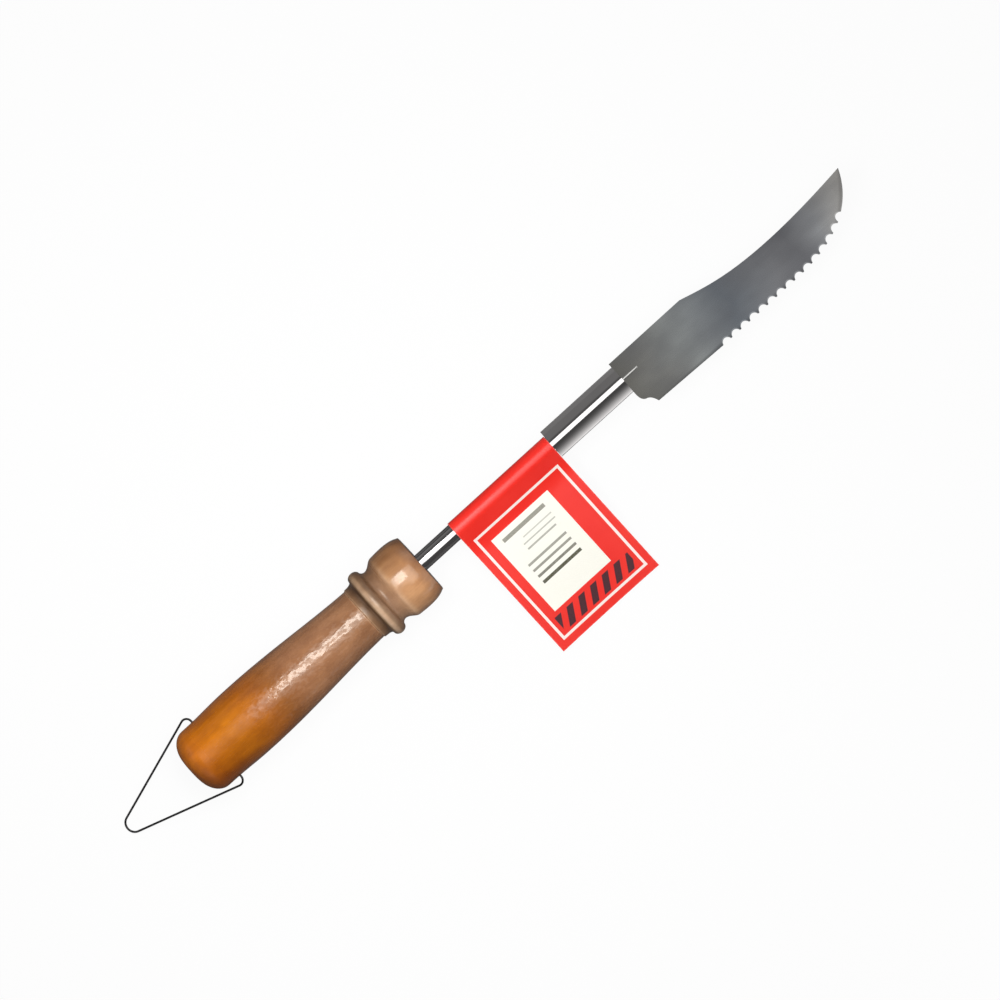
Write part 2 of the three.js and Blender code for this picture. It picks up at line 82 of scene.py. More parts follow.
handle_profile = [
    # The rounded butt.
    Vector((-handle_length, 0)),
    Vector((-handle_length, 5)),
    *arc(14, (-131.5, 5), (8.5, 11.2), 180, 90),
    # The grip, thickest a third of the way from the butt.
    *curved(10, (-131.5, 16.2), (-117.75, 16.2), (-117.75, grip_radius), (-104, grip_radius)),
    *curved(28, (-104, grip_radius), (-78, grip_radius), (-55.4, 13.9), (-34.4, 13.5)),
    # A step, the bead and the cove.
    Vector((-33.9, 14.0)),
    *curved(8, (-33.9, 14.0), (-29.9, 14.0), (-29.9, 15.3)),
    *arc(16, (-26.8, 15.3), (3.1, 2.4), 180, 0),
    *curved(12, (-23.7, 15.3), (-22, 12.6), (-18.4, 15.5)),
    # The collar.
    *curved(6, (-18.4, 15.5), (-16.7, 16.85), (-15.9, 16.92)),
    *curved(10, (-15.9, 16.92), (-12.6, 17.25), (-9.5, 17.25)),
    *curved(10, (-9.5, 17.25), (-3.6, 17.25), (-0.8, 15.6)),
    *curved(4, (-0.8, 15.6), (0, 15.6), (0, 14.8)),
    # The bore for the shank.
    Vector((0, bore_radius + bore_chamfer)),
    Vector((-bore_chamfer, bore_radius)),
    Vector((bore_end, bore_radius)),
    Vector((bore_point, 0)),
]

MM = 0.001
shank_low, shank_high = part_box("shank_tube")
shank_middle = (shank_low + shank_high) / 2
collar_face = Vector((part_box("handle")[1].x, shank_middle.y, shank_middle.z))
from_knife = Matrix.Translation(collar_face) @ Matrix.Scale(MM, 4)


def piece(name, points, faces, place=from_knife, sharp=35):
    """Mesh of points in millimetres on the knife, smooth but for edges sharper than an angle."""
    mesh = bpy.data.meshes.new(name)
    mesh.from_pydata([place @ Vector(p) for p in points], [], faces)
    mesh.shade_smooth()
    mesh.set_sharp_from_angle(angle=math.radians(sharp))
    made = bpy.data.objects.new(name, mesh)
    bpy.context.scene.collection.objects.link(made)
    return made


def turned(name, profile, sides, sharp=35):
    """Piece turned about the shank's axis from (x, radius) points; a point on the axis closes an end."""
    points, rings = [], []
    for x, radius in profile:
        count = sides if radius > 0 else 1
        rings.append(range(len(points), len(points) + count))
        for i in range(count):
            angle = 2 * math.pi * i / sides
            points.append((x, radius * math.cos(angle), radius * math.sin(angle)))
    faces = []
    for back, front in zip(rings, rings[1:]):
        for i in range(sides):
            j = i + 1
            corners = [
                back[i % len(back)],
                back[j % len(back)],
                front[j % len(front)],
                front[i % len(front)],
            ]
            faces.append(list(dict.fromkeys(corners)))
    return piece(name, points, faces, sharp=sharp)


handle = turned("handle_wood", handle_profile, handle_sides)

loop_pivot = -125
loop_hole_radius = 0.8
drill_sides = 24
drill_half = 20
drill_ring = [
    (loop_pivot + loop_hole_radius * math.cos(a), loop_hole_radius * math.sin(a))
    for a in (2 * math.pi * i / drill_sides for i in range(drill_sides))
]
drill_points = [(x, y, z) for y in (-drill_half, drill_half) for x, z in drill_ring]
drill_faces = [list(range(drill_sides)), list(reversed(range(drill_sides, 2 * drill_sides)))]
for i in range(drill_sides):
    j = (i + 1) % drill_sides
    drill_faces.append([j, i, i + drill_sides, j + drill_sides])


def drilled(body, drill):
    """Takes the shape of the drill out of a piece and throws the drill away."""
    cut = body.modifiers.new("drilled", "BOOLEAN")
    cut.operation = "DIFFERENCE"
    cut.solver = "EXACT"
    cut.object = drill
    seen = body.evaluated_get(bpy.context.evaluated_depsgraph_get())
    body.data = bpy.data.meshes.new_from_object(seen)
    body.modifiers.clear()
    bpy.data.objects.remove(drill)


drilled(handle, piece("loop_drill", drill_points, drill_faces))


class Shade:
    """A socket in a finish. Sums on it add the Math nodes that work them out."""

    def __init__(self, tree, socket=None):
        self.tree = tree
        self.socket = socket

    def node(self, kind, settings=None, inputs=None, output=0):
        """Adds a node with its settings, feeds its sockets and hands on one of its outputs."""
        made = self.tree.nodes.new("ShaderNode" + kind)
        for name, value in (settings or {}).items():
            if name == "stops":
                elements = made.color_ramp.elements
                elements.remove(elements[1])
                elements[0].position, elements[0].color = value[0]
                for position, colour in value[1:]:
                    elements.new(position).color = colour
            else:
                setattr(made, name, value)
        for name, value in (inputs or {}).items():
            if isinstance(value, Shade):
                self.tree.links.new(value.socket, made.inputs[name])
            else:
                made.inputs[name].default_value = value
        return Shade(self.tree, made.outputs[output] if made.outputs else None)

    def math(self, operation, *values, clamp=False):
        """A Math node on sockets and numbers."""
        return self.node("Math", {"operation": operation, "use_clamp": clamp}, dict(enumerate(values)))

    def __add__(self, other):
        return self.math("ADD", self, other)

    def __sub__(self, other):
        return self.math("SUBTRACT", self, other)

    def __rsub__(self, other):
        return self.math("SUBTRACT", other, self)

    def __mul__(self, other):
        return self.math("MULTIPLY", self, other)

    def __truediv__(self, other):
        return self.math("DIVIDE", self, other)

    __radd__ = __add__
    __rmul__ = __mul__


def finish(name):
    """An empty material and the Shade that its nodes are added through."""
    made = bpy.data.materials.new(name)
    made.use_nodes = True
    made.node_tree.nodes.clear()
    return made, Shade(made.node_tree)


def surface(shade, **sockets):
    """Ends a finish with a Principled surface; an underscore stands for the space in a socket's name."""
    inputs = {name.replace("_", " "): value for name, value in sockets.items()}
    shade.node("OutputMaterial", inputs={"Surface": shade.node("BsdfPrincipled", inputs=inputs)})


def rgb(red, green, blue):
    """Scene colour of an everyday colour of 0 to 255."""
    linear = [((v / 255 + 0.055) / 1.055) ** 2.4 if v > 10 else v / 3294.6 for v in (red, green, blue)]
    return (*linear, 1)


def blended(factor, first, second, mode="MIX"):
    """Two colours mixed by a factor that changes over the surface."""
    settings = {"data_type": "RGBA", "blend_type": mode, "clamp_factor": True}
    return factor.node("Mix", settings, {0: factor, 6: first, 7: second}, 2)


def on_knife(shade, turn=0.0):
    """Place on the surface in millimetres from the middle of the collar's face, turned about the shank."""
    back = Matrix.Rotation(-turn, 3, "X")
    inputs = {
        "Vector": shade.node("TexCoord", output="Object"),
        "Location": -(back @ collar_face) / MM,
        "Rotation": (-turn, 0, 0),
        "Scale": (1 / MM, 1 / MM, 1 / MM),
    }
    return shade.node("Mapping", {}, inputs)


def axes(spot):
    """The three coordinates of a place."""
    return [spot.node("SeparateXYZ", inputs={0: spot}, output=axis) for axis in "XYZ"]


def speckle(spot, length, width, height, detail=2.0):
    """Noise from 0 to 1 with grains of about that size in millimetres."""
    scaled = spot.node("Mapping", {}, {"Vector": spot, "Scale": (1 / length, 1 / width, 1 / height)})
    return spot.node("TexNoise", {}, {"Vector": scaled, "Scale": 1.0, "Detail": detail})


def ramped(value, low, high):
    """0 below one value and 1 above another, with a straight slope between them."""
    return value.math("MULTIPLY", value - low, 1 / (high - low), clamp=True)


def relief(height):
    """Normal of a surface whose height is given in millimetres."""
    return height.node("Bump", {}, {"Strength": 1.0, "Distance": MM, "Height": height})


lacquered_wood, shade = finish("lacquered_wood")
spot = on_knife(shade)
along, sideways, upwards = axes(spot)
# Colour along the handle: brown turning amber towards the butt. From the step to the collar's shoulder the
# stops are partly painted light and shade: painted shade in the groove behind the bead and on the bead's
# front, painted highlights on the step, the bead's crest and the collar's shoulder. The butt's end is
# lightened as painted light, against the fall of light round it.
tone_and_painted_light_along = [
    (-140, (224, 124, 4)),
    (-134, (217, 120, 5)),
    (-124, (219, 126, 12)),
    (-112, (217, 128, 18)),
    (-103, (209, 122, 26)),
    (-94, (192, 115, 45)),
    (-86, (172, 110, 58)),
    (-76, (180, 126, 87)),
    (-50, (178, 128, 92)),
    (-36, (172, 124, 88)),
    (-34.8, (172, 124, 88)),
    (-34.2, (206, 164, 126)),
    (-33.4, (150, 114, 84)),
    (-30.8, (98, 70, 46)),
    (-29.2, (112, 82, 58)),
    (-28.3, (212, 180, 148)),
    (-26.9, (204, 168, 136)),
    (-26, (150, 118, 90)),
    (-24.6, (142, 108, 80)),
    (-21.6, (168, 130, 100)),
    (-17.2, (200, 154, 116)),
    (-16.2, (226, 182, 142)),
    (-14, (212, 160, 115)),
    (-6, (208, 154, 108)),
    (0, (156, 111, 80)),
]
tone_and_painted_light = shade.node(
    "ValToRGB",
    {"stops": [((x + handle_length) / handle_length, rgb(*colour)) for x, colour in tone_and_painted_light_along]},
    {"Fac": (along + handle_length) / handle_length},
)

pith_sideways, pith_below = 11, 24
ring_wobble, ring_turn = 7, 2.1
pith_x = sideways - pith_sideways
pith_z = upwards + pith_below
from_pith = shade.math("SQRT", pith_x * pith_x + pith_z * pith_z)
wobble = ring_wobble * speckle(spot, 60, 10, 10, 1)
year_rings = shade.math("SINE", (from_pith + wobble) * ring_turn) * 0.5 + 0.5
fibres = speckle(spot, 14, 0.7, 0.7, 3)
blotches = speckle(spot, 7, 4, 4, 3)
pores = ramped(speckle(spot, 3.5, 0.35, 0.35, 1), 0.62, 0.74)
patches = speckle(spot, 16, 7, 7, 3)
darkness = (
    0.08 * year_rings
    + 0.2 * (1 - fibres)
    + 0.14 * pores
    + 0.5 * (2 - patches - blotches)
    - 0.45
)
wood_colour = blended(darkness, tone_and_painted_light, rgb(128, 82, 60), "MULTIPLY")

# Painted shade: the butt is darker on the edge's side and the collar on the spine's side.
shade_side_leans = ramped(along, -128, -80) + 0.7 * ramped(along, -40, -20) - 1
painted_side_shade = ramped(sideways * shade_side_leans, -4, 13)
wood_colour = blended(0.85 * painted_side_shade, wood_colour, rgb(160, 140, 108), "MULTIPLY")
in_amber = ramped(along, -136, -118) * (1 - ramped(along, -100, -84))
# Painted shade: in the amber part the colour darkens towards the edge on the spine's side.
spine_edge_shade = 0.7 * in_amber * ramped(sideways, 2, 14)
wood_colour = blended(spine_edge_shade, wood_colour, rgb(206, 190, 170), "MULTIPLY")

# The lacquer is bright and pitted on the grip, rubbed smooth towards the butt and thin in the rings.
on_grip = 1 - ramped(along, -36, -33)
on_collar = ramped(along, -20, -15)
in_rings = 1 - on_grip - on_collar
rubbed = 1 - ramped(along, -110, -90)
on_butt = 1 - ramped(along, -137, -127)
peel = speckle(spot, 2.2, 1.5, 1.5, 0.5)
dulled = ramped(speckle(spot, 2.6, 1.6, 1.6, 1), 0.45, 0.6) * on_grip
surface(
    shade,
    Base_Color=wood_colour,
    Roughness=(
        0.07
        + 0.06 * patches
        + 0.15 * pores
        + 0.28 * dulled * (1 - rubbed)
        + 0.13 * rubbed
        + 0.22 * on_butt
        + 0.26 * in_rings
        + 0.05 * on_collar
    ),
    IOR=1.58,
    Specular_Tint=(1, 0.95, 0.86, 1),
    Normal=relief((0.006 + 0.1 * on_grip - 0.085 * rubbed) * peel - 0.004 * pores),
)
handle.data.materials.append(lacquered_wood)
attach(handle, "knife")
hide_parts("handle")


# Shank: a thin steel tube, chromed, that carries the blade at arm's length from the fire. Its tang has
# rolled grooves and is glued into the handle; its front end is pressed into the neck sleeve.
neck_rear = 79.9
shank_in_neck = 30
shank_front = neck_rear + shank_in_neck
shank_sides = 64
shank_wall = 1
shank_chamfer = 0.4
shank_bore = shank_radius - shank_wall
groove_count, groove_from, groove_pitch = 4, 12, 9
groove_half, groove_depth = 0.8, 0.4
shank_profile = [
    Vector((-shank_tang, shank_bore)),
    Vector((-shank_tang, shank_radius - shank_chamfer)),
    Vector((-shank_tang + shank_chamfer, shank_radius)),
]
for groove in range(groove_count):
    groove_at = -shank_tang + groove_from + groove_pitch * groove
    shank_profile += [
        Vector((groove_at - groove_half, shank_radius)),
        Vector((groove_at, shank_radius - groove_depth)),
        Vector((groove_at + groove_half, shank_radius)),
    ]
shank_profile += [
    Vector((shank_front - shank_chamfer, shank_radius)),
    Vector((shank_front, shank_radius - shank_chamfer)),
    Vector((shank_front, shank_bore)),
    shank_profile[0],
]
shank = turned("shank_chrome", shank_profile, shank_sides, sharp=20)

chrome_plate, shade = finish("chrome_plate")
spot = on_knife(shade)
polish = speckle(spot, 30, 0.3, 0.3, 2)
smudges = speckle(spot, 14, 5, 5, 3)
surface(
    shade,
    Base_Color=blended(smudges, rgb(180, 177, 177), rgb(194, 192, 191)),
    Metallic=1.0,
    Roughness=0.05 + 0.03 * polish + 0.06 * ramped(smudges, 0.5, 0.75),
    Specular_Tint=(0.06, 0.06, 0.07, 1),
    Normal=relief(0.0003 * polish),
)
shank.data.materials.append(chrome_plate)
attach(shank, "knife")
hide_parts("shank_tube")


# Neck sleeve: sheet steel rolled to a roof with a rounded crest and chromed. It is pressed over the
# front of the shank, and its lower half runs on under the blade as a flattened spoon.
neck_length = 43.6
neck_front = neck_rear + neck_length
neck_wall = 1
neck_half = 7.4
seat_play = 0.3
neck_seat = shank_radius + seat_play + neck_wall
crest_radius, crest_rise = 4.2, 0.6
side_radius, side_height = 1.3, 0.8
flank_radius = 36
wrap_steps = 240
crest_at = Vector((0, neck_seat + crest_rise - crest_radius))
side_at = Vector((neck_half - side_radius, side_height))
crest_to_side = side_at - crest_at
to_crest, to_side = flank_radius - crest_radius, flank_radius - side_radius
reach = (to_crest**2 - to_side**2 + crest_to_side.length_squared) / (2 * crest_to_side.length)
inwards = Vector((crest_to_side.y, -crest_to_side.x)).normalized()
flank_at = crest_at + crest_to_side.normalized() * reach + inwards * math.sqrt(to_crest**2 - reach**2)
flank_ends = [math.atan2(p.y - flank_at.y, p.x - flank_at.x) for p in (side_at, crest_at)]


def neck_outline(inset):
    """Outline of the rolled sheet: crest, two crowned flanks, two tight sides and the round belly."""
    outline = []
    for i in range(wrap_steps):
        angle = 2 * math.pi * (i + 0.5) / wrap_steps
        out = Vector((math.cos(angle), math.sin(angle)))
        hand = Vector((math.copysign(1, out.x), 1))
        right = out * hand
        if flank_ends[0] <= math.atan2(right.y, right.x) <= flank_ends[1]:
            centre, radius = flank_at, flank_radius
        else:
            rounds = [(Vector((0, 0)), neck_seat), (crest_at, crest_radius), (side_at, side_radius)]
            centre, radius = max(rounds, key=lambda c: c[0].dot(right) + c[1])
        outline.append((centre + right * (radius - inset)) * hand)
    return outline


blade_thickness = 1.2
blade_under = -blade_thickness / 2 - seat_play


def at_seat(a, b):
    """Point between two points at the height of the blade's seat."""
    return a.lerp(b, (blade_under - a.y) / (b.y - a.y))


def split(outline):
    """Lower and upper part of a closed outline at the height of the blade's seat, left to right."""
    count = len(outline)
    start = next(i for i in range(count) if outline[i].y > blade_under >= outline[(i + 1) % count].y)
    lower, upper = [], []
    for k in range(count):
        point = outline[(start + 1 + k) % count]
        (lower if point.y <= blade_under else upper).append(point)
    return [at_seat(outline[start], lower[0]), *lower, at_seat(lower[-1], upper[0])], upper


def matched(points, others):
    """As many of the points as there are others, evenly picked."""
    last = len(others) - 1
    return [points[round(i * (len(points) - 1) / last)] for i in range(len(others))]


lower_out, upper_out = split(neck_outline(0))
lower_in, upper_in = split(neck_outline(neck_wall))
lower_in, upper_in = matched(lower_in, lower_out), matched(upper_in, upper_out)
neck_points, neck_faces = [], []


def row(x, outline, floor=None, share=0.0, squeeze=1.0):
    """Adds the points of an outline at a place along the shank and gives their numbers."""
    first = len(neck_points)
    for p in outline:
        height = p.y if floor is None else p.y + (floor - p.y) * share
        neck_points.append((x, p.x * squeeze, height))
    return list(range(first, len(neck_points)))


def skin(before, after, flip=False):
    """Adds the faces between two rows."""
    for a, b, c, d in zip(before, before[1:], after[1:], after):
        neck_faces.append([a, d, c, b] if flip else [a, b, c, d])


heel_gap = 0.05
sleeve_front = neck_front - heel_gap
sleeve_rows = []
for x in (neck_rear, sleeve_front):
    outer = row(x, lower_out)
    inner = row(x, lower_in)
    roof = [outer[-1], *row(x, upper_out), outer[0]]
    ceiling = [inner[-1], *row(x, upper_in), inner[0]]
    sleeve_rows.append((outer, inner, roof, ceiling))
rear_outer, rear_inner, rear_roof, rear_ceiling = sleeve_rows[0]
outer, inner, front_roof, front_ceiling = sleeve_rows[1]
skin(rear_outer, outer)
skin(rear_inner, inner, True)
skin(rear_roof, front_roof)
skin(rear_ceiling, front_ceiling, True)
skin(rear_outer, rear_inner, True)
skin(rear_roof, rear_ceiling, True)
skin(front_roof, front_ceiling)


def smoothstep(value, low, high):
    """0 to 1 between two values, with soft ends."""
    share = min(max((value - low) / (high - low), 0), 1)
    return share * share * (3 - 2 * share)


spoon_length, spoon_slope, spoon_nose = 27, 15, 7
spoon_steps, nose_steps = 20, 12
nose_start = neck_front + spoon_length - spoon_nose
spoon_step = (nose_start - sleeve_front) / spoon_steps
spoon_stations = [(sleeve_front + spoon_step * i, 1.0) for i in range(1, spoon_steps + 1)]
for i in range(1, nose_steps + 1):
    # The last row stays a little short of a point.
    angle = math.pi / 2 * i / (nose_steps + 0.2)
    spoon_stations.append((nose_start + spoon_nose * math.sin(angle), math.cos(angle)))
for x, squeeze in spoon_stations:
    share = smoothstep(x, neck_front, neck_front + spoon_slope)
    next_outer = row(x, lower_out, blade_under - neck_wall, share, squeeze)
    next_inner = row(x, lower_in, blade_under, share, squeeze)
    skin(outer, next_outer)
    skin(inner, next_inner, True)
    neck_faces.append([outer[0], next_outer[0], next_inner[0], inner[0]])
    neck_faces.append([outer[-1], inner[-1], next_inner[-1], next_outer[-1]])
    outer, inner = next_outer, next_inner
skin(outer, inner)
neck = piece("neck_chrome", neck_points, neck_faces)
neck.data.materials.append(chrome_plate)
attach(neck, "knife")
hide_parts("neck_sleeve")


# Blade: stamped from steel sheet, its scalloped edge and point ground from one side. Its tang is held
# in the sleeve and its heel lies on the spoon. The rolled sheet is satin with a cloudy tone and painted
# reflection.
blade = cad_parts["blade"]
blade_length = 136.7
blade_steel, shade = finish("blade_steel")
spot = on_knife(shade)
along, sideways, upwards = axes(spot)
# Painted reflection: light and dark bands along the blade stand for what the flat steel reflects, lightest
# towards the point.
reflection_bands_along = [
    (0, (132, 130, 123)),
    (0.12, (154, 154, 150)),
    (0.22, (174, 178, 177)),
    (0.32, (160, 165, 168)),
    (0.42, (131, 138, 146)),
    (0.52, (143, 146, 151)),
    (0.62, (148, 149, 153)),
    (0.72, (140, 141, 145)),
    (0.82, (176, 178, 181)),
    (0.92, (205, 203, 199)),
    (1, (200, 196, 188)),
]
band_drift = 14 * (speckle(spot, 40, 18, 18, 1) - 0.5)
painted_reflection = shade.node(
    "ValToRGB",
    {"stops": [(share, rgb(*colour)) for share, colour in reflection_bands_along]},
    {"Fac": (along - neck_front + band_drift) / blade_length},
)
clouds = speckle(spot, 26, 15, 15, 2)
lines = speckle(spot, 25, 0.2, 0.2, 3)
steel = blended(0.5 * ramped(clouds, 0.35, 0.8), painted_reflection, rgb(98, 99, 106))
# Painted shade: the blade darkens towards the spine, more so towards the point.
painted_spine_shade = (0.1 + 0.2 * ramped(along, 165, 205)) * ramped(sideways, -15, 2)
steel = blended(painted_spine_shade, steel, rgb(60, 60, 66))

# A band along the edge is darker: it runs straight from the heel and rises along the belly to the point.
edge_depth, edge_rise = 19.2, 24.6
belly_from, belly_bend = 88.5, 3.1
belly = ramped(along, neck_front + belly_from, neck_front + blade_length)
edge_line = edge_rise * shade.math("POWER", belly, belly_bend) - edge_depth
edge_band = 1 - ramped(sideways - edge_line, 0.3, 2.0)
steel = blended(0.6 * edge_band * (1 - 0.7 * belly), steel, rgb(50, 50, 54))

# The low rib in line with the neck's crest stands proud; its top is smoother and painted near white as a
# highlight.
blade_top = blade_thickness / 2
rib_polish_and_highlight = ramped(upwards, blade_top + 0.02, blade_top + 0.08)
steel = blended(rib_polish_and_highlight, steel, rgb(255, 254, 250))
surface(
    shade,
    Base_Color=blended(0.2 * lines, steel, rgb(160, 160, 160)),
    Metallic=1.0,
    Roughness=0.2 + 0.1 * lines + 0.06 * clouds - 0.17 * rib_polish_and_highlight,
    Normal=relief(0.0008 * lines),
)
blade.material_slots[0].material = blade_steel
rounding = blade.modifiers.new("stoned_edges", "BEVEL")
rounding.width = 0.06 * MM
rounding.segments = 2
rounding.limit_method = "ANGLE"
rounding.angle_limit = math.radians(40)


# Hanging loop: a length of dark drawn steel wire bent to a long triangle. Its two ends are bent in and
# spring into the hole across the handle, so that it swings over the butt; here it has dropped down.
axis_height = collar_face.z / MM
wire_radius = 0.5
wire_sides = 16
loop_length = 58
loop_half = 20.6
loop_end_height = 0.9
apex_radius = 4.2
shoulder_radius = 2.8
bend_steps = 16
pin_length = 9
pin_end = grip_radius - pin_length
loop_drop = math.asin((axis_height - loop_end_height) / loop_length)


def filleted(corners, radii, steps):
    """Path through corners that are rounded to radii."""
    path = [Vector(corners[0])]
    for before, corner, after, radius in zip(corners, corners[1:], corners[2:], radii):
        corner = Vector(corner)
        arriving = (corner - Vector(before)).normalized()
        leaving = (Vector(after) - corner).normalized()
        turn = arriving.angle(leaving)
        setback = radius * math.tan(turn / 2)
        side = 1 if arriving.cross(leaving) > 0 else -1
        start = corner - arriving * setback
        centre = start + Vector((-arriving.y, arriving.x)) * side * radius
        spoke = start - centre
        for i in range(steps + 1):
            path.append(centre + Matrix.Rotation(side * turn * i / steps, 2) @ spoke)
    path.append(Vector(corners[-1]))
    return path


leg = math.hypot(loop_half, loop_length - apex_radius)
leg_angle = math.atan2(loop_half, loop_length - apex_radius) - math.asin(apex_radius / leg)
loop_corners = [
    (0, pin_end),
    (0, loop_half),
    (-loop_half / math.tan(leg_angle), 0),
    (0, -loop_half),
    (0, -pin_end),
]
loop_path = filleted(loop_corners, [shoulder_radius, apex_radius, shoulder_radius], bend_steps)


def heading(path, k):
    """Direction of a path at one of its points."""
    return (path[min(k + 1, len(path) - 1)] - path[max(k - 1, 0)]).normalized()


loop_points, loop_faces = [], []
for k, at in enumerate(loop_path):
    tangent = heading(loop_path, k)
    out = Vector((-tangent.y, tangent.x))
    for i in range(wire_sides):
        angle = 2 * math.pi * i / wire_sides
        ring = at + out * wire_radius * math.cos(angle)
        loop_points.append((ring.x, ring.y, wire_radius * math.sin(angle)))
        j = (i + 1) % wire_sides
        if k:
            a, b = (k - 1) * wire_sides, k * wire_sides
            loop_faces.append([a + i, a + j, b + j, b + i])
loop_faces.append(list(reversed(range(wire_sides))))
loop_faces.append(list(range(len(loop_points) - wire_sides, len(loop_points))))
loop_place = from_knife @ Matrix.Translation((loop_pivot, 0, 0)) @ Matrix.Rotation(-loop_drop, 4, "Y")
loop = piece("loop_wire", loop_points, loop_faces, loop_place)

dark_wire, shade = finish("dark_wire")
spot = on_knife(shade)
drawn = speckle(spot, 3, 0.4, 0.4, 3)
surface(
    shade,
    Base_Color=blended(drawn, rgb(36, 36, 38), rgb(84, 83, 82)),
    Metallic=1.0,
    Roughness=0.24 + 0.2 * drawn,
    Normal=relief(0.01 * drawn),
)
loop.data.materials.append(dark_wire)
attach(loop, "loop")
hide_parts("hanging_loop")


# Sales card: a strip of printed board folded over the shank, its two leaves glued together below it.
# It turns freely on the shank, and here it droops until its lower edge meets the table.
card_thickness = 0.35
card_width = 58.7
card_play = 0.3
card_from = neck_rear - card_play - card_width
card_reach = 75.4
card_columns = 16
card_bend = shank_radius + card_play + card_thickness / 2
card_droop = math.asin((axis_height - card_play - card_thickness) / card_reach)
card_place = from_knife @ Matrix.Rotation(card_droop, 4, "X")
glue_half = 0.02
leaf_at = card_thickness / 2 + glue_half
leaf_rows, leaf_step = 25, 2.4
pinch_at = 11
corner_lift = 0.9


def curl(x, down):
    """Lift of the card's face above flat, more towards its free corners."""
    across = 2 * (x - card_from) / card_width - 1
    return corner_lift * max(down / card_reach, 0) ** 3 * across * across


fold_turn = math.degrees(math.acos(-(card_bend - leaf_at) / pinch_at))
fold_start = math.radians(fold_turn)
tangent_end = Vector((math.cos(fold_start), math.sin(fold_start))) * card_bend
pinch = Vector((-pinch_at, leaf_at))
front_leaf = [Vector((-card_reach + leaf_step * i, leaf_at)) for i in range(leaf_rows)]
front_leaf += curved(8, front_leaf[-1], pinch, pinch.lerp(tangent_end, 0.5))
front_leaf += [tangent_end]
fold = arc(32, (0, 0), (card_bend, card_bend), fold_turn, -fold_turn)
back_leaf = [Vector((p.x, -p.y)) for p in reversed(front_leaf[:-1])]
strip = front_leaf + fold + back_leaf


def sheet_faces(rows, columns):
    """Faces of a thin sheet of two like layers of points: its front, its back and the rim between."""
    per_row = columns + 1
    layer = rows * per_row
    front = []
    for k in range(rows - 1):
        for i in range(columns):
            a, b = k * per_row + i, (k + 1) * per_row + i
            front.append([a, a + 1, b + 1, b])
    back = [[v + layer for v in reversed(corners)] for corners in front]
    around = [k * per_row for k in range(rows)]
    around += [layer - per_row + i for i in range(1, per_row)]
    around += [k * per_row + columns for k in reversed(range(rows - 1))]
    around += list(reversed(range(1, columns)))
    rim = [[a, b, b + layer, a + layer] for a, b in zip(around, around[1:] + around[:1])]
    return front, back, rim


card_points = []
for side in (1, -1):
    for k, at in enumerate(strip):
        along_strip = heading(strip, k)
        edge = at + Vector((-along_strip.y, along_strip.x)) * side * card_thickness / 2
        for i in range(card_columns + 1):
            x = card_from + card_width * i / card_columns
            card_points.append((x, edge.x, edge.y + curl(x, -edge.x)))
card_front, card_back, card_rim = sheet_faces(len(strip), card_columns)
card = piece("card_print", card_points, card_front + card_back + card_rim, card_place)

red_card, shade = finish("red_card")
spot = on_knife(shade, card_droop)
card_x, card_y = axes(spot)[:2]
from_end = card_x - card_from
down = 0 - card_y


def band(value, low, high, soft=0.12):
    """1 between two values and 0 outside them, with a soft edge."""
    entered = ramped(value, low - soft / 2, low + soft / 2)
    return entered * (1 - ramped(value, high - soft / 2, high + soft / 2))


frame_in = band(from_end, 4.9, card_width - 4.9) * band(down, 9.7, card_reach - 5.1)
frame_out = band(from_end, 3.6, card_width - 3.6) * band(down, 8.4, card_reach - 3.8)
frame_line = frame_out - frame_in
bar_pitch, bar_slant, bar_margin = 7.2, 0.6, 7
slant = (from_end + bar_slant * down) / bar_pitch
bar_strip = band(down, 61, 69) * band(from_end, bar_margin, card_width - bar_margin)
bars = band(slant.math("FRACT", slant), 0.1, 0.62, 0.03) * bar_strip
mottle = speckle(spot, 14, 14, 14, 2)
screen = speckle(spot, 0.35, 0.35, 0.35, 1)
off_rim = band(from_end, 0.25, card_width - 0.25, 0.5) * (1 - ramped(down, card_reach - 0.5, card_reach))
worn = (1 - off_rim) * ramped(speckle(spot, 1.5, 1.5, 1.5, 3), 0.42, 0.62)
print_colour = blended(mottle, rgb(232, 30, 22), rgb(242, 45, 32))
print_colour = blended(bars, print_colour, rgb(46, 26, 38))
print_colour = blended(frame_line, print_colour, rgb(250, 236, 230))
print_colour = blended(0.08 * screen, print_colour, rgb(255, 120, 110))
print_colour = blended(0.4 * worn, print_colour, rgb(246, 190, 180))
surface(
    shade,
    Base_Color=print_colour,
    Roughness=0.26 + 0.12 * mottle + 0.2 * worn,
    IOR=1.45,
    Normal=relief(0.006 * speckle(spot, 0.8, 0.8, 0.8, 2)),
)
raw_board, shade = finish("raw_board")
spot = on_knife(shade, card_droop)
pulp = speckle(spot, 1.2, 0.5, 0.2, 4)
surface(
    shade,
    Base_Color=blended(pulp, rgb(196, 184, 170), rgb(236, 228, 216)),
    Roughness=0.75 + 0.15 * pulp,
    Normal=relief(0.02 * pulp),
)
card.data.materials.append(red_card)
card.data.materials.append(raw_board)
for number, face in enumerate(card.data.polygons):
    face.material_index = 0 if number < len(card_front) else 1
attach(card, "card")
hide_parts("tag_card")


# Price sticker: a label of white paper, printed with plain ruled bars. It is stuck to the front leaf of
# the card, square to the fold.
sticker_width, sticker_height = 34.4, 46.6
sticker_to_neck = 15.2
sticker_from = neck_rear - sticker_to_neck - sticker_width
sticker_top = 12.2
sticker_low, sticker_high = 0.39, 0.52
sticker_columns, sticker_rows = 14, 18
sticker_points = []
for height in (sticker_high, sticker_low):
    for k in reversed(range(sticker_rows + 1)):
        y = -sticker_top - sticker_height * k / sticker_rows
        for i in range(sticker_columns + 1):
            x = sticker_from + sticker_width * i / sticker_columns
            sticker_points.append((x, y, height + curl(x, -y)))
sticker_faces = sum(sheet_faces(sticker_rows + 1, sticker_columns), [])
sticker = piece("sticker_paper", sticker_points, sticker_faces, card_place)

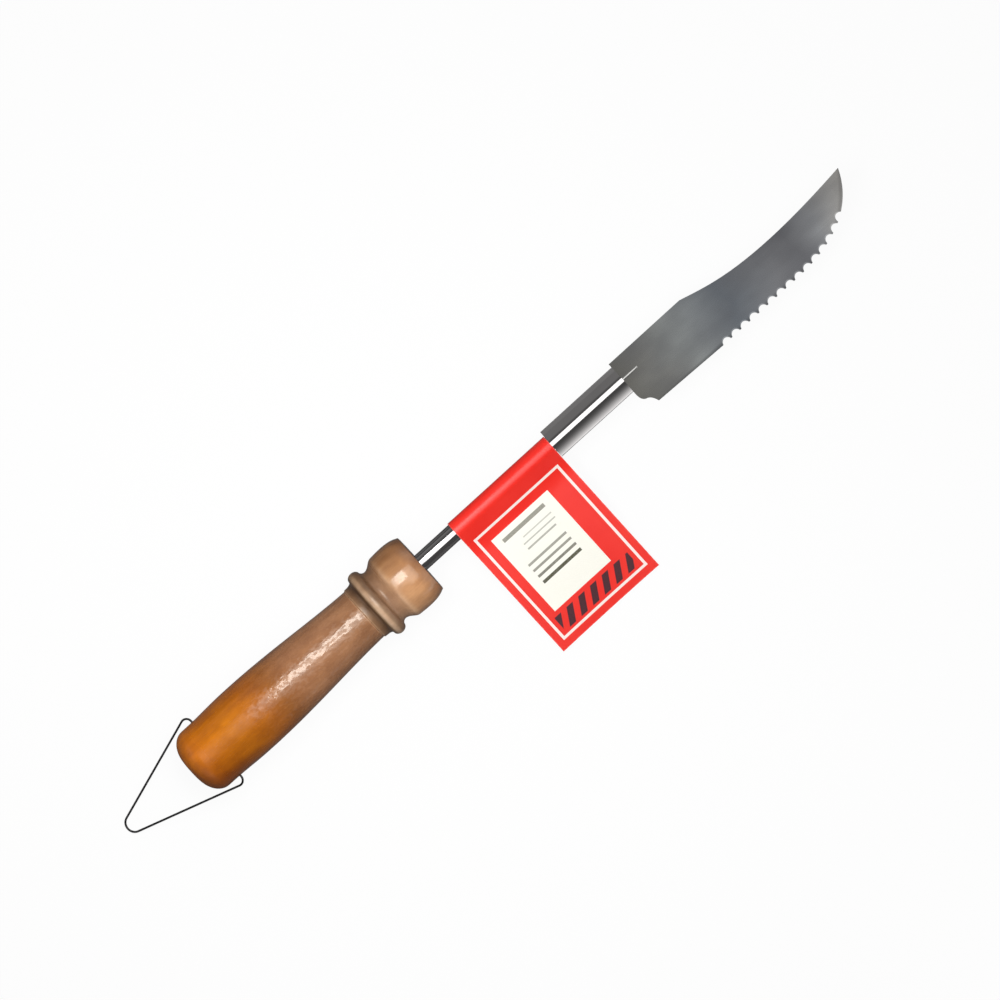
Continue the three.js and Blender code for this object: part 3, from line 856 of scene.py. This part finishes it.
white_paper, shade = finish("white_paper")
spot = on_knife(shade, card_droop)
card_x, card_y = axes(spot)[:2]
across = card_x - sticker_from
below = 0 - card_y - sticker_top
ink = band(below, 5.2, 7.2) * band(across, 4, 29) * 0.75
for top, thickness, start, end, strength in [
    (10.6, 0.7, 12, 29, 0.4),
    (13.4, 0.7, 10, 29, 0.5),
    (16.2, 0.9, 10, 27, 0.6),
    (22.0, 1.2, 5, 28, 0.7),
    (25.4, 1.2, 5, 28, 0.75),
    (28.8, 1.3, 5, 28, 0.85),
    (32.2, 1.6, 5, 28, 1.0),
]:
    ink = ink + strength * band(below, top, top + thickness) * band(across, start, end)
fibre = speckle(spot, 0.7, 0.7, 0.7, 3)
paper_colour = blended(fibre, rgb(242, 240, 229), rgb(250, 248, 238))
surface(
    shade,
    Base_Color=blended(ink * (0.8 + 0.3 * fibre), paper_colour, rgb(70, 68, 44)),
    Roughness=0.55 + 0.2 * fibre,
    Normal=relief(0.008 * fibre),
)
sticker.data.materials.append(white_paper)
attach(sticker, "card")
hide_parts("tag_sticker")


# Table and backdrop: a pale sheet that lies flat under the knife and sweeps up far away all round. The
# eye sees it nearly white, with a part of the knife's soft shadow. Polished metal sees it dim, but
# paler beside the neck and at its far ends.
sweep_profile = [(0.0, 0.0), (0.6, 0.0), (2.0, 0.0), (5.0, 0.0)]
sweep_profile += [tuple(p) for p in curved(12, (5.0, 0.0), (6.0, 0.0), (6.2, 1.1))]
sweep_sides = 96
sweep_points, sweep_faces = [], []
for k, (radius, height) in enumerate(sweep_profile):
    for i in range(sweep_sides):
        angle = 2 * math.pi * i / sweep_sides
        sweep_points.append((radius * math.cos(angle), radius * math.sin(angle), height))
        if k > 1:
            a, b = (k - 1) * sweep_sides, k * sweep_sides
            j = (i + 1) % sweep_sides
            sweep_faces.append([a + i, b + i, b + j, a + j])
sweep_faces.append(list(range(sweep_sides, 2 * sweep_sides)))
sweep = piece("pale_sweep", sweep_points, sweep_faces, Matrix.Identity(4))

pale_sweep, shade = finish("pale_sweep")
to_camera = shade.node("LightPath", output="Is Camera Ray")
to_glass = shade.node("LightPath", output="Is Transmission Ray")
to_metal = shade.node("LightPath", output="Is Glossy Ray")
sheet_x, sheet_y = axes(shade.node("TexCoord", output="Object"))[:2]
edge_side = 1 - ramped(sheet_y, -0.01, 0.025)
beside_neck = ramped(sheet_x, 0.02, 0.05) * (0.25 + 0.55 * edge_side)
far_ends = ramped(sheet_x * sheet_x, 1, 6)
whiteness = 0.94 * (to_camera + to_glass) + (0.05 + beside_neck + 0.3 * far_ends) * to_metal
dim_sheet = shade.node("BsdfDiffuse", {}, {"Color": (0.12, 0.12, 0.12, 1)})
pale_sheet = shade.node("BsdfDiffuse", {}, {"Color": (0.85, 0.85, 0.85, 1)})
sheet = shade.node("MixShader", {}, {0: to_camera, 1: dim_sheet, 2: pale_sheet})
white = shade.node("Emission", {}, {"Color": (1, 1, 1, 1), "Strength": 1.0})
mixed = shade.node("MixShader", {}, {0: whiteness, 1: sheet, 2: white})
shade.node("OutputMaterial", inputs={"Surface": mixed})
sweep.data.materials.append(pale_sweep)


# Studio: a dim room with soft glows, a fill lamp without glare, a soft box over the shank and a bulb
# behind two nested diffusers over the handle. A flag keeps the lamps off the flat of the blade, and a
# white panel stands beyond the edge, beside the neck. The camera looks straight down.
room = bpy.data.worlds.new("studio_room")
bpy.context.scene.world = room
room.use_nodes = True
room.node_tree.nodes.clear()
shade = Shade(room.node_tree)
room_x, room_y, room_z = axes(shade.node("TexCoord", output="Generated"))
overhead = ramped(room_z, 0.86, 0.97) * ramped(room_x, -0.12, -0.02)
low_down = 1 - ramped(room_z, 0.45, 0.85)
behind_butt = ramped(0 - room_x, 0.25, 0.85) * low_down
behind_point = ramped(room_x, 0.12, 0.5) * low_down
behind_spine = ramped(room_y, 0.0, 0.5) * low_down
to_metal = shade.node("LightPath", output="Is Glossy Ray")
in_corner = ramped(room_x * room_x, 0.06, 0.2) * ramped(room_y * room_y, 0.04, 0.16)
in_corner = in_corner * (1 - ramped(room_z, 0.86, 0.93)) * to_metal
glow = (
    0.66 * overhead
    + 0.3 * behind_butt
    + 0.4 * behind_point
    + 0.16 * behind_spine
    + 0.5 * in_corner
)
dim_room = shade.node("Background", {}, {"Color": (1, 1, 1, 1), "Strength": 0.1})
lit_room = shade.node("Background", {}, {"Color": (1, 1, 1, 1), "Strength": 1.1})
backing = shade.node("MixShader", {}, {0: glow, 1: dim_room, 2: lit_room})
shade.node("OutputWorld", inputs={"Surface": backing})

flag = bpy.data.collections.new("lamp_flag")
flag.objects.link(blade)
for name, middle, size, radiance in [
    ("fill", (-0.05, 0.06, 0.55), (0.5, 0.4), 1.8),
    ("shank_softbox", (0.0325, 0.0, 0.368), (0.155, 0.34), 2.0),
    ("handle_diffuser", (-0.0925, 0.06, 0.365), (0.115, 0.32), 0.6),
    ("handle_inner_diffuser", (-0.0825, 0.06, 0.362), (0.095, 0.22), 0.7),
    ("handle_bulb", (-0.071, 0.08, 0.359), (0.082, 0.17), 10),
]:
    lamp_data = bpy.data.lights.new(name, "AREA")
    lamp_data.shape = "RECTANGLE"
    lamp_data.size, lamp_data.size_y = size
    lamp_data.energy = math.pi * size[0] * size[1] * radiance
    lamp = bpy.data.objects.new(name, lamp_data)
    lamp.location = middle
    lamp.visible_camera = False
    lamp.visible_glossy = name != "fill"
    lamp.light_linking.receiver_collection = flag
    bpy.context.scene.collection.objects.link(lamp)
flag.collection_objects[0].light_linking.link_state = "EXCLUDE"

panel_from, panel_to = 0.02, 0.17
panel_y, panel_top = -0.333, 0.2
panel_points = [
    (panel_from, panel_y, 0),
    (panel_to, panel_y, 0),
    (panel_to, panel_y, panel_top),
    (panel_from, panel_y, panel_top),
]
panel = piece("white_panel", panel_points, [[0, 1, 2, 3]], Matrix.Identity(4))
panel.visible_camera = False
white_panel, shade = finish("white_panel")
panel_height = axes(shade.node("TexCoord", output="Object"))[2]
panel_fade = 1 - ramped(panel_height, 0.03, 0.17)
panel_dim = shade.node("Emission", {}, {"Color": (1, 1, 1, 1), "Strength": 0.12})
panel_lit = shade.node("Emission", {}, {"Color": (1, 1, 1, 1), "Strength": 1.72})
panel_glow = shade.node("MixShader", {}, {0: panel_fade * panel_fade, 1: panel_dim, 2: panel_lit})
shade.node("OutputMaterial", inputs={"Surface": panel_glow})
panel.data.materials.append(white_panel)

camera_height = 2.4
camera_x, camera_y = 0.00626, 0.02357
camera_turn = -42.245
view_width = 0.4527
camera_data = bpy.data.cameras.new("camera")
camera_data.lens = camera_data.sensor_width * camera_height / view_width
camera_data.clip_end = 50
camera = bpy.data.objects.new("camera", camera_data)
camera.location = (camera_x, camera_y, collar_face.z + camera_height)
camera.rotation_euler = (0, 0, math.radians(camera_turn))
bpy.context.scene.collection.objects.link(camera)
bpy.context.scene.camera = camera
bpy.context.scene.view_settings.view_transform = "Standard"

bpy.context.view_layer.update()
